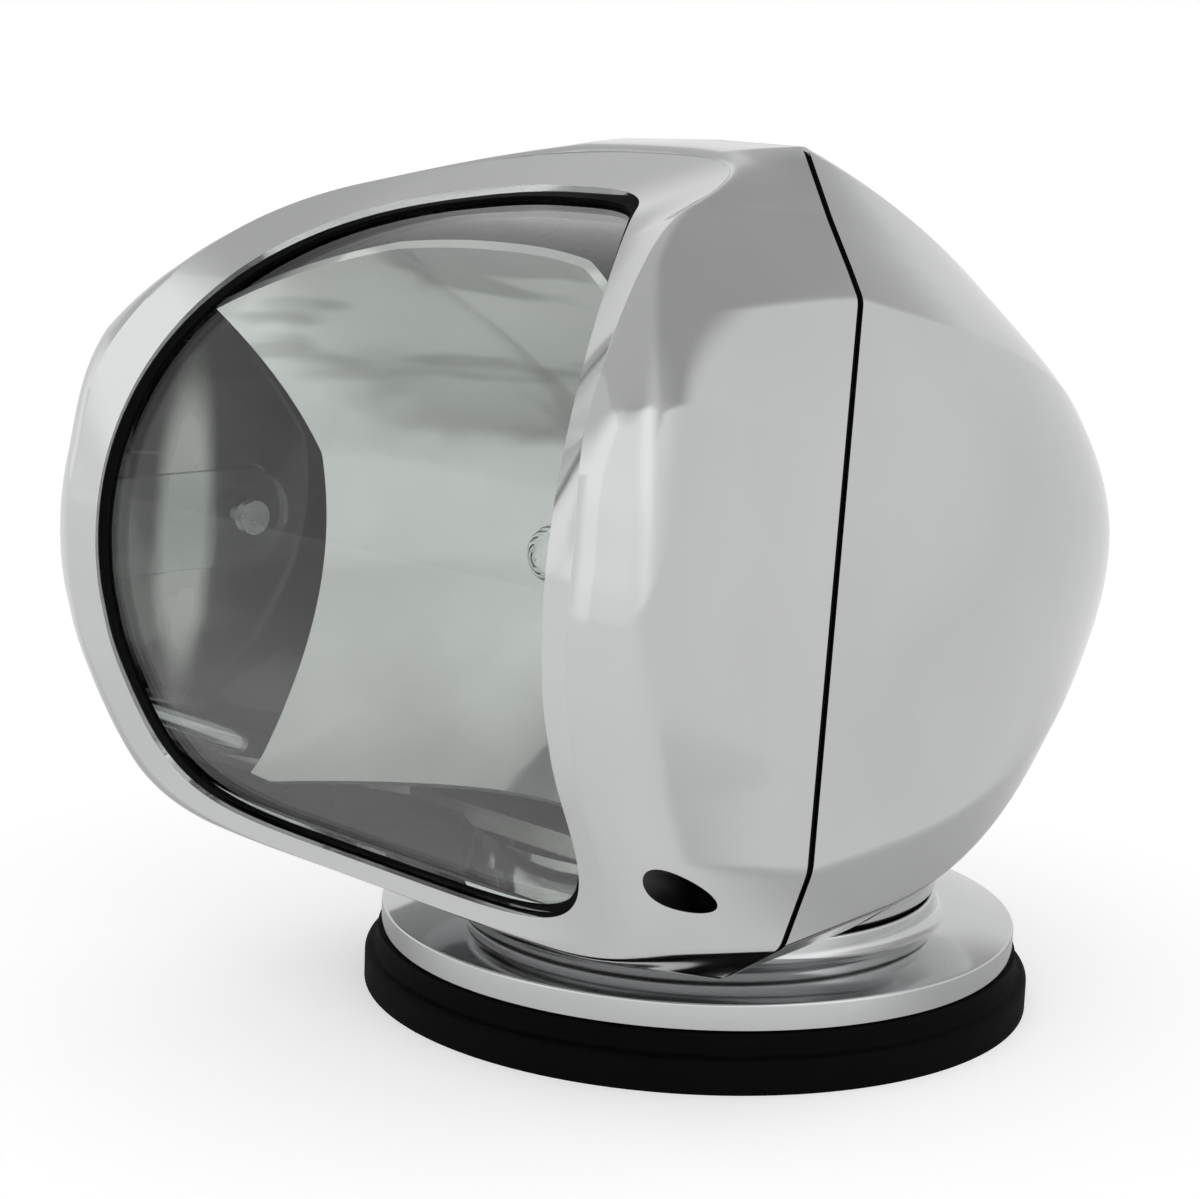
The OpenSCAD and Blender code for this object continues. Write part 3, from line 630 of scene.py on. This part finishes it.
# Each screw's boss is trimmed to the middle of the shell's wall, and its bore is painted near
# black as painted shade.
bore_with_painted_shade = metal("screw bore with painted shade", (0.02, 0.02, 0.02), (0.04, 0.04, 0.04), 0.4, 300.0)
boss_r, boss_low, boss_high = 5.4 * MM, -34 * MM, 6 * MM
bore_r, bore_low, bore_high = 2.6 * MM, -60 * MM, -5 * MM
screw_x, screw_z = belt - 7.7 * MM, head_floor + 11.2 * MM
screw_splay, screw_lean = math.radians(19), math.radians(-110)
screw_axis = (
    Matrix.Translation((screw_x, seam_y(screw_z), screw_z))
    @ Matrix.Rotation(screw_splay, 4, "Z")
    @ Matrix.Rotation(screw_lean, 4, "X")
)
middle = [[shoulder_point(rail, t, front_wall / 2) for rail in rails] for t in shoulder[::2]]
back_end, rim_end = (
    [Vector((0, row[0].y, rim_z))] * len(rails) for row in (middle[0], middle[-1])
)
for side in (1, -1):
    turned = Matrix.Scale(side, 4, (1, 0, 0)) @ screw_axis
    boss = drum(boss_r, boss_low, boss_high, turned)
    bore = drum(bore_r, bore_low, bore_high, turned)
    for round_bar in (boss, bore):
        bmesh.ops.recalc_face_normals(round_bar, faces=round_bar.faces)
    for face in bore.faces:
        face.material_index = 2
    boss = carved(lofted([back_end] + middle + [rim_end]), boss, "INTERSECT")
    front = carved(carved(front, boss, "UNION"), bore)
front_shell = piece(
    "front_shell",
    front,
    [shell_chrome, inside_with_painted_light, bore_with_painted_shade],
    "head",
    "chrome_shell",
    "front_housing",
)
eased(front_shell)

# Seam gasket
# A flat ring of black rubber that follows the seam's corners, a little below the chrome.
# It lies between the shells and is squeezed when their screws are drawn up.
gasket_half = 0.5 * MM
gasket_out, gasket_in = 0.5 * MM, 2.5 * MM
seam_rows = [
    [seam_point(rail, inset, shift) for rail in rails]
    for inset, shift in (
        (gasket_out, gasket_half),
        (gasket_out, -gasket_half),
        (gasket_in, -gasket_half),
        (gasket_in, gasket_half),
    )
]
piece("seam_gasket", lofted(seam_rows), [gasket_rubber], "head", "rubber", "housing_gasket")

# Lens, its gasket and its screws
# A clear sheet bent round the tilt axis, with a tab folded back on each side for its screw.
# It is pressed from inside against a black rubber gasket behind the chrome lip.
lens_depth = 2.4 * MM
seal_in = (-1.6 * MM, -0.4 * MM, -0.7 * MM)
seal_out = (3 * MM, 0.4 * MM, -0.6 * MM)
seal_rows = [
    [visor_point(lip_outline(rail, *grow), lip_r, depth) for rail in rails]
    for grow, depth in (
        (seal_in, lip_t),
        (seal_out, lip_t),
        (seal_out, lens_depth),
        (seal_in, lens_depth),
    )
]
piece("lens_seal", lofted(seal_rows), [gasket_rubber], "head", "rubber", "lens_gasket")

clear, shader, at = finish("clear lens")
shader.inputs["Base Color"].default_value = (0.95, 0.97, 0.96, 1)
shader.inputs["Transmission Weight"].default_value = 1
shader.inputs["IOR"].default_value = 1.3
scuffs = at.stretched((30, 30, 500)).noise(1, 2)
(0.004 + scuffs.between(0.62, 0.8) * 0.03).to(shader, "Roughness")
(at.noise(45, 2) + scuffs * 0.1).bump(0.03, 0.0003).to(shader, "Normal")


def thickened(mesh, thickness):
    """Turns a sheet's faces to the front, then gives it its thickness."""
    bmesh.ops.recalc_face_normals(mesh, faces=mesh.faces)
    if sum(face.normal.y * face.calc_area() for face in mesh.faces) > 0:
        bmesh.ops.reverse_faces(mesh, faces=mesh.faces)
    bmesh.ops.solidify(mesh, geom=mesh.faces, thickness=thickness)
    bmesh.ops.recalc_face_normals(mesh, faces=mesh.faces)


lens_t = 2 * MM
lens_grow = (3.2 * MM, 0.5 * MM, -0.5 * MM)
least_half = 6 * MM
tab_r = 9 * MM
tab_x = lip_half + 0.8 * MM
tab_y = tilt_y - 28 * MM
sheet = bmesh.new()
rows = [lip_outline(rail, *lens_grow) for rail in rails]
across, along = 24, len(rows) - 1
bmesh.ops.create_grid(sheet, x_segments=across, y_segments=along, size=1)
for vert in sheet.verts:
    half, z = rows[round((vert.co.y + 1) / 2 * along)]
    vert.co = visor_point((vert.co.x * max(half, least_half), z), lip_r, lens_depth)
thickened(sheet, lens_t)
for side in (1, -1):
    ends = bmesh.ops.create_circle(sheet, cap_ends=True, radius=tab_r, segments=48)["verts"]
    for vert in ends:
        if vert.co.y < -1e-6:
            vert.co.y = tilt_y - lip_r + lens_depth + lens_t / 2 - tab_y
    thick = bmesh.ops.extrude_face_region(sheet, geom=[ends[0].link_faces[0]])["geom"]
    raised = [v for v in thick if isinstance(v, bmesh.types.BMVert)]
    bmesh.ops.translate(sheet, vec=(0, 0, lens_t), verts=raised)
    place = (
        Matrix.Scale(side, 4, (1, 0, 0))
        @ Matrix.Translation((tab_x, tab_y, tilt_z))
        @ Matrix.Rotation(math.radians(90), 4, "Y")
    )
    bmesh.ops.transform(sheet, matrix=place, verts=ends + raised)
bmesh.ops.recalc_face_normals(sheet, faces=sheet.faces)
piece("lens_sheet", sheet, [clear], "head", "clear_lens", "lens")

# Chassis, motors and board
# Folded zinc-plated sheet on the turntable's pad, with two geared motors and the control board.
# Only glimpses of them show past the reflector.
dress(zinc, "zinc_sheet", "chassis")
black = moulding("black gearbox plastic", (0.018, 0.019, 0.02), (0.03, 0.03, 0.032), 0.42)
can = metal("motor can", (0.42, 0.43, 0.43), (0.52, 0.53, 0.53), 0.28)
laminate = moulding("board laminate", (0.012, 0.1, 0.05), (0.02, 0.15, 0.08), 0.3)
dress(black, "black_plastic", "pan_gearbox", "tilt_gearbox", "board_parts")
dress(can, "motor_can", "pan_motor", "tilt_motor")
dress(laminate, "circuit", "control_board")

# Reflector
# A pressed bowl with six flattened panels about the bulb, bright with vapour-coated aluminium.
# Its cradle arms hang it on two trunnion pins, and it swings clear of the lens.
mirror, shader, at = finish("aluminised mirror")
haze = at.noise(28, 4).between(0.3, 0.75)
ripple = at.noise(38, 2)
# Painted highlight and painted reflection: the colour is lighter from the middle panel up and
# much lighter on the top panel, where dark wavy streaks cross it.
low, high = at.axis("Z").between(0.045, 0.075), at.axis("Z").between(0.1, 0.13)
painted_reflection_streaks = at.stretched((16, 30, 110), turn=(0, 0.5, 0)).noise(1, 2).between(0.53, 0.62) * high
tone = 0.46 + haze * 0.08 + low * 0.1 + high * 0.4 - painted_reflection_streaks * 0.4
tone.tint((0, 0, 0), (1, 1.03, 1)).to(shader, "Base Color")
shader.inputs["Metallic"].default_value = 0.4
(0.08 + haze * 0.06).to(shader, "Roughness")
ripple.bump(0.2, 0.0015).to(shader, "Normal")

focal = 22 * MM
vertex = 19 * MM
swing_r = 56.2 * MM
bowl_half = 53.2 * MM
low_cut = 45.2 * MM
bowl_t = 1.5 * MM
panel = math.radians(52)
flatness = 0.3
lamp_rake = math.radians(5)
lamp_hole_r, lamp_hole_depth = 9 * MM, 60 * MM


def bowl_depth(x, z):
    """Depth of the bowl behind the tilt axis, with its panels counted from the bottom up."""
    r = math.hypot(x, z)
    turn = max(math.atan2(z, abs(x)) + math.pi / 2, panel / 2)
    off = turn % panel - panel / 2
    r *= 1 - flatness + flatness * math.cos(off) / math.cos(panel / 2)
    return vertex - r * r / (4 * focal)


def bowl_edge(x, way):
    """Height, upward or downward, at which the bowl meets the cylinder that it swings in."""
    low, high = 0.0, 0.1
    for _ in range(40):
        middle = (low + high) / 2
        if math.hypot(bowl_depth(x, way * middle), middle) < swing_r:
            low = middle
        else:
            high = middle
    return low


bowl_steps = 96
bowl = bmesh.new()
bmesh.ops.create_grid(bowl, x_segments=bowl_steps, y_segments=bowl_steps, size=1)
for vert in bowl.verts:
    x = vert.co.x * bowl_half
    low, high = -min(bowl_edge(x, -1), low_cut), bowl_edge(x, 1)
    z = low + (high - low) * (vert.co.y + 1) / 2
    vert.co = (x, bowl_depth(x, z), z)
thickened(bowl, bowl_t)
backward = Matrix.Rotation(math.radians(-90), 4, "X")
bowl = carved(bowl, drum(lamp_hole_r, 0, lamp_hole_depth, backward))
lamp_place = Matrix.Translation((0, tilt_y, tilt_z)) @ Matrix.Rotation(lamp_rake, 4, "X")
bmesh.ops.transform(bowl, matrix=lamp_place, verts=bowl.verts)
piece("reflector_bowl", bowl, [mirror], "lamp", "mirror", "reflector", sharp=60)

cradle = metal("cradle sheet", (0.26, 0.27, 0.27), (0.34, 0.35, 0.35), 0.35)
sector = moulding("tilt sector nylon", (0.55, 0.52, 0.44), (0.64, 0.61, 0.53), 0.4)
dress(cradle, "cradle", "lamp_cradle")
dress(sector, "nylon", "tilt_sector")

# Bulb
# Halogen capsule of clear quartz round a tungsten wire.
# It stands in a ceramic holder at the back of the bowl.
ceramic = moulding("lamp ceramic", (0.6, 0.57, 0.5), (0.7, 0.67, 0.6), 0.55)
tungsten = metal("tungsten wire", (0.24, 0.23, 0.21), (0.32, 0.31, 0.29), 0.4)
quartz, shader, at = finish("bulb quartz")
shader.inputs["Base Color"].default_value = (0.97, 0.98, 0.98, 1)
shader.inputs["Transmission Weight"].default_value = 1
(0.01 + at.noise(120, 2).between(0.5, 0.8) * 0.04).to(shader, "Roughness")
dress(ceramic, "lamp_base", "bulb_holder")
dress(tungsten, "bulb", "filament")
dress(quartz, "bulb", "bulb_glass")

# Setting
# A white sweep under a soft tent of light, darker overhead, as in the photograph.
# One large softbox stands in front, on the far side of the beam.
floor_half = 4
floor_mesh = bmesh.new()
bmesh.ops.create_grid(floor_mesh, x_segments=1, y_segments=1, size=floor_half)
floor_data = bpy.data.meshes.new("floor")
floor_mesh.to_mesh(floor_data)
floor_mesh.free()
floor = bpy.data.objects.new("floor", floor_data)
bpy.context.scene.collection.objects.link(floor)
paper, shader, at = finish("white sweep")
shader.inputs["Base Color"].default_value = (0.8, 0.8, 0.8, 1)
shader.inputs["Roughness"].default_value = 0.9
shader.inputs["Specular IOR Level"].default_value = 0
shader.inputs["Emission Strength"].default_value = 1
seen = at.node("ShaderNodeLightPath", {}, "Is Camera Ray")
mirrored = Wire(at.tree, seen.socket.node.outputs["Is Glossy Ray"])
through = Wire(at.tree, seen.socket.node.outputs["Is Transmission Ray"])
# Seen in reflections, the floor's glow is dimmed farther back and near the base toward its rear
# left: painted shade.
painted_shade_behind = at.axis("Y").between(-0.1, 0.3)
apart = at.length().between(0.09, 0.35)
painted_shade_near_base = at.along((-0.5, 0.87, 0)).between(-0.07, -0.01) * (1 - apart)
reflected_glow_with_painted_shade = (0.3 - painted_shade_behind * 0.08) * (1 - painted_shade_near_base)
sheen = seen * 0.4 + (mirrored + through) * reflected_glow_with_painted_shade
sheen.tint((0, 0, 0), (1, 1, 1)).to(shader, "Emission Color")
floor_data.materials.append(paper)

world = bpy.data.worlds.new("tent")
bpy.context.scene.world = world
world.use_nodes = True
tree = world.node_tree
sky = tree.nodes["Background"]
sky.inputs["Color"].default_value = (1, 1, 1, 1)
place = tree.nodes.new("ShaderNodeTexCoord")
at = Wire(tree, place.outputs["Generated"])
height = at.axis("Z")
toward = at.along((0.71, -0.71, 0))
rearward = at.along((0.12, 0.99, 0))
window = at.along((0.75, 0.43, 0.5))
far_end = at.along((-0.95, -0.3, 0.05))
open_side = 1.05 + height.between(0, 0.3) * 0.12 - height.between(0.7, 0.9) * 0.55
far_side = 0.87 - height.between(0.29, 0.44) * (0.2 + rearward.between(0.5, 0.75) * 0.18)
tent = far_side + toward.between(0.05, 0.45) * (open_side - far_side)
tent = tent + window.between(0.72, 1) * 0.2 + far_end.between(0.93, 1) * 0.3
seen = at.node("ShaderNodeLightPath", {}, "Is Camera Ray")
tent = tent + seen * (1 - tent)
tent.to(sky, "Strength")

key_place, key_aim = Vector((-0.9, -1.5, 0.8)), Vector((0, 0, 0.05))
key_data = bpy.data.lights.new("key", "AREA")
key_data.shape = "SQUARE"
key_data.size = 2.0
key_data.energy = 1.5
key = bpy.data.objects.new("key", key_data)
key.location = key_place
key.rotation_mode = "QUATERNION"
key.rotation_quaternion = (key_aim - key_place).to_track_quat("-Z", "Y")
bpy.context.scene.collection.objects.link(key)

camera_data = bpy.data.cameras.new("camera")
camera = bpy.data.objects.new("camera", camera_data)
bpy.context.scene.collection.objects.link(camera)
bpy.context.scene.camera = camera
camera_data.lens = 80.22
camera_data.sensor_width = 36
camera_place = (0.34002, -0.35716, 0.16333)
turn, rise, roll = math.radians(46), math.radians(10.4), math.radians(2.24)
back = Vector((math.sin(turn) * math.cos(rise), -math.cos(turn) * math.cos(rise), math.sin(rise)))
right = Vector((math.cos(turn), math.sin(turn), 0))
up = back.cross(right)
right, up = (
    math.cos(roll) * right + math.sin(roll) * up,
    math.cos(roll) * up - math.sin(roll) * right,
)
camera_turn = Matrix((right, up, back)).transposed().to_4x4()
camera.matrix_world = Matrix.Translation(camera_place) @ camera_turn

bpy.context.scene.view_settings.view_transform = "Standard"
